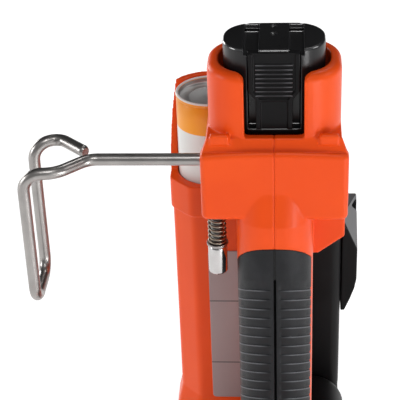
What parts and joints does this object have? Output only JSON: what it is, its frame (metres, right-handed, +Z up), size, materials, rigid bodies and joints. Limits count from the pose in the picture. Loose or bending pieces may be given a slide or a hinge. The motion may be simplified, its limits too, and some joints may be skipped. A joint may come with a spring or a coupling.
{
  "type": "cordless gas nailer",
  "caption": "Cordless gas nailer standing on its head, with a battery in the handle end, a fuel can beside the grip, a wire hanging hook, a side magazine and a sprung nose.",
  "frame": {"origin": "on the flat front of the head that the tool stands on, straight below the middle of the handle", "axes": "+X to the tool's right, +Y the way the nail flies, +Z up the handle to the battery end"},
  "size_m": [0.1684, 0.239, 0.337],
  "materials": {
    "orange_shell": "fine satin moulding",
    "rubber_grip": "matt soft rubber",
    "black_plastic": "satin black moulding",
    "white_plastic": "satin",
    "label_grey": "plain film, no print",
    "can_metal": "lacquered, plain colour band",
    "bright_steel": "drawn wire, plated",
    "chrome": "polished",
    "cast_aluminium": "turned casting",
    "dark_steel": "blackened",
    "brass": "bare",
    "board_green": "lacquered board"
  },
  "bodies": {
    "housing": {"housing_left": "orange_shell", "housing_right": "orange_shell", "grip_left": "rubber_grip", "grip_right": "rubber_grip", "battery_contacts": "brass", "fuel_tube": "orange_shell", "label_plate": "label_grey", "valve_seat": "black_plastic", "hook_spring": "bright_steel", "head_housing": "black_plastic", "rear_cap": "orange_shell", "spark_plug": "white_plastic", "fan_motor": "bright_steel", "cylinder": "cast_aluminium", "bumper": "rubber_grip", "nose_block": "dark_steel", "magazine_plate": "black_plastic", "magazine_body": "black_plastic", "rail_front": "bright_steel", "rail_back": "bright_steel", "trigger_pin": "bright_steel", "trigger_switch": "black_plastic", "control_board": "board_green", "side_screws": "dark_steel", "cap_screws": "dark_steel", "magazine_screws": "dark_steel"},
    "battery": {"battery_pack": "black_plastic"},
    "latch": {"battery_latch": "black_plastic"},
    "can": {"fuel_can": "can_metal", "can_valve": "white_plastic"},
    "hook_seat": {"hook_washer": "bright_steel"},
    "hook": {"hook_wire": "bright_steel", "hook_nut": "chrome"},
    "trigger": {"trigger": "black_plastic"},
    "follower": {"follower": "black_plastic"},
    "probe": {"work_contact": "dark_steel", "lift_rods": "bright_steel", "valve_sleeve": "cast_aluminium"},
    "piston": {"piston": "cast_aluminium", "driver_blade": "bright_steel"},
    "fan": {"fan": "black_plastic"}
  },
  "joints": [
    {"name": "battery_lift", "type": "slide", "parent": "housing", "child": "battery", "axis": [0, 0, 1], "range_m": [0, 0.09]},
    {"name": "latch_press", "type": "slide", "parent": "battery", "child": "latch", "axis": [0, 1, 0], "range_m": [0, 0.0014], "stiffness_N_per_m": 400},
    {"name": "can_lift", "type": "slide", "parent": "housing", "child": "can", "axis": [0, 0, 1], "range_m": [0, 0.1]},
    {"name": "hook_lift", "type": "slide", "parent": "housing", "child": "hook_seat", "axis": [0, 0, 1], "range_m": [0, 0.008], "stiffness_N_per_m": 1500, "deforming": ["hook_spring"]},
    {"name": "hook_swing", "type": "hinge", "parent": "hook_seat", "child": "hook", "pos_m": [-0.0285, 0.005, 0.25], "axis": [0, 0, -1], "range_deg": [0, 45]},
    {"name": "trigger_pull", "type": "hinge", "parent": "housing", "child": "trigger", "pos_m": [0, 0.014, 0.138], "axis": [-1, 0, 0], "range_deg": [0, 11], "stiffness_Nm_per_rad": 0.5},
    {"name": "follower_slide", "type": "slide", "parent": "housing", "child": "follower", "axis": [0, 0, -1], "range_m": [0, 0.08]},
    {"name": "probe_press", "type": "slide", "parent": "housing", "child": "probe", "axis": [0, -1, 0], "range_m": [0, 0.01], "stiffness_N_per_m": 1500},
    {"name": "piston_stroke", "type": "slide", "parent": "housing", "child": "piston", "axis": [0, 1, 0], "range_m": [0, 0.044]},
    {"name": "fan_spin", "type": "hinge", "parent": "housing", "child": "fan", "pos_m": [0, -0.045, 0.046], "axis": [0, 1, 0], "continuous": true}
  ]
}
